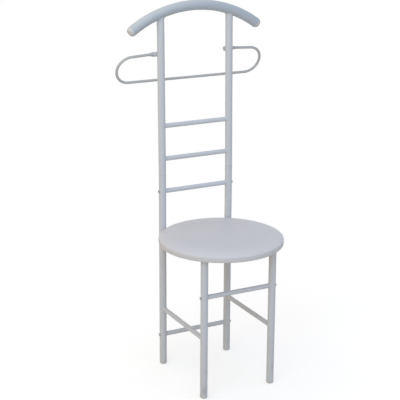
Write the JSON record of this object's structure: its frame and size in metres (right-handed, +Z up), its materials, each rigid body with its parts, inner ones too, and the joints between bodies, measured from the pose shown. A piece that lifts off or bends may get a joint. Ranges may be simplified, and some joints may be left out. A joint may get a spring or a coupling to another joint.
{
  "type": "clothes valet chair",
  "caption": "White tubular steel valet chair: round padded seat, tall back with cross bars, an arched jacket hanger and a trouser bow that swings behind the posts.",
  "frame": {"origin": "on the floor under the middle of the object's box, midway between the left and right posts", "axes": "+Z up, +X to the right for someone who faces the chair's front, +Y towards the back; the chair's front faces -Y"},
  "size_m": [0.483, 0.4082, 1.1224],
  "materials": {
    "white_paint": "satin",
    "white_plastic": "satin",
    "vinyl": "satin",
    "foam": "matte",
    "plywood": "matte",
    "zinc_steel": "satin",
    "grey_plastic": "satin",
    "black_steel": "satin"
  },
  "bodies": {
    "frame": {"rear_post_left": "white_paint", "rear_post_right": "white_paint", "front_leg_left": "white_paint", "front_leg_right": "white_paint", "seat_rail_left": "white_paint", "seat_rail_right": "white_paint", "side_stretcher_left": "white_paint", "side_stretcher_right": "white_paint", "front_stretcher": "white_paint", "rear_stretcher": "white_paint", "lower_back_bar": "white_paint", "middle_back_bar": "white_paint", "upper_back_bar": "white_paint", "back_post_left": "white_paint", "back_post_right": "white_paint", "post_spigot_left": "zinc_steel", "post_spigot_right": "zinc_steel", "hanger_arch": "white_paint", "arch_cap_left": "white_plastic", "arch_cap_right": "white_plastic", "bow_sleeve_left": "white_paint", "bow_sleeve_right": "white_paint", "bow_bush_left": "grey_plastic", "bow_bush_right": "grey_plastic", "sleeve_caps": "white_plastic", "seat_board": "plywood", "seat_foam": "foam", "seat_cover": "vinyl", "seat_staples": "zinc_steel", "seat_screws": "zinc_steel", "frame_bolts": "black_steel", "tube_nuts": "zinc_steel", "leg_plugs": "white_plastic", "foot_rear_left": "white_plastic", "foot_rear_right": "white_plastic", "foot_front_left": "white_plastic", "foot_front_right": "white_plastic"},
    "bow": {"trouser_bow": "white_paint"}
  },
  "joints": [
    {"name": "bow_swing", "type": "hinge", "parent": "frame", "child": "bow", "pos_m": [0, 0.16819, 0.96963], "axis": [1, 0, 0], "range_deg": [-23, 156]}
  ]
}
